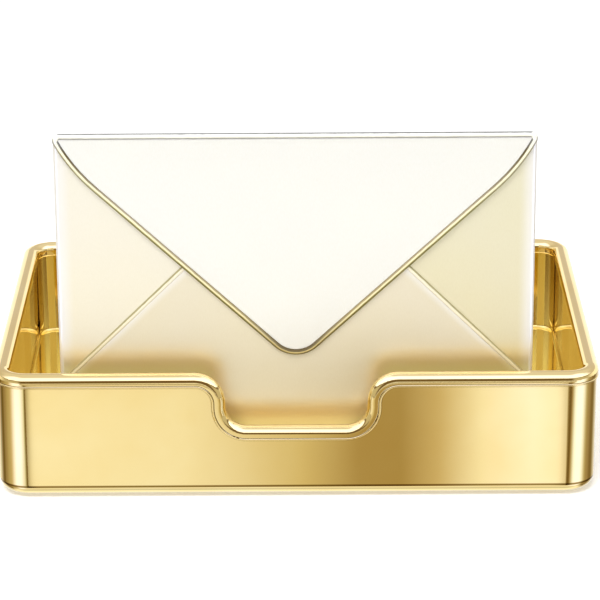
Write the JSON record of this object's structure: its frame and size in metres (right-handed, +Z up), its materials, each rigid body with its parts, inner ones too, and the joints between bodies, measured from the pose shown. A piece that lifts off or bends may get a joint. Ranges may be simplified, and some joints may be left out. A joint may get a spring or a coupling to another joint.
{
  "type": "letter tray",
  "caption": "Low gold letter tray with rounded corners, a raised rim and a finger notch in front, holding an upright envelope whose flap turns up.",
  "frame": {"origin": "middle of the tray's footprint, on the desk under its foot pads", "axes": "+X to the right along the front wall, -Y towards the user, +Z up"},
  "size_m": [0.292, 0.203, 0.1795],
  "materials": {
    "gold_brass": "polished",
    "plain_brass": "satin",
    "board": "raw",
    "screw_steel": "satin",
    "felt": "matte",
    "envelope_paper": "satin",
    "flap_paper": "satin",
    "letter_paper": "matte",
    "gilt_piping": "gilt"
  },
  "bodies": {
    "tray": {"outer_skin": "gold_brass", "inner_liner": "gold_brass", "rim_moulding": "gold_brass", "front_wall_board": "board", "rear_wall_board": "board", "left_wall_board": "board", "right_wall_board": "board", "corner_post_front_left": "board", "corner_post_front_right": "board", "corner_post_rear_left": "board", "corner_post_rear_right": "board", "base_board": "board", "base_plate": "plain_brass", "base_screws": "screw_steel", "foot_pad_front_left": "felt", "foot_pad_front_right": "felt", "foot_pad_rear_left": "felt", "foot_pad_rear_right": "felt", "envelope_channel": "gold_brass"},
    "envelope": {"envelope_pocket": "envelope_paper", "left_side_flap": "envelope_paper", "right_side_flap": "envelope_paper", "bottom_flap": "envelope_paper", "seam_piping": "gilt_piping", "letter_stack": "letter_paper"},
    "flap": {"closure_flap": "flap_paper", "flap_piping": "gilt_piping"}
  },
  "joints": [
    {"name": "envelope_lift", "type": "slide", "parent": "tray", "child": "envelope", "axis": [0, 0, 1], "range_m": [0, 0.06]},
    {"name": "flap_hinge", "type": "hinge", "parent": "envelope", "child": "flap", "pos_m": [0, -0.0819, 0.1781], "axis": [-1, 0, 0], "range_deg": [0, 180]}
  ]
}
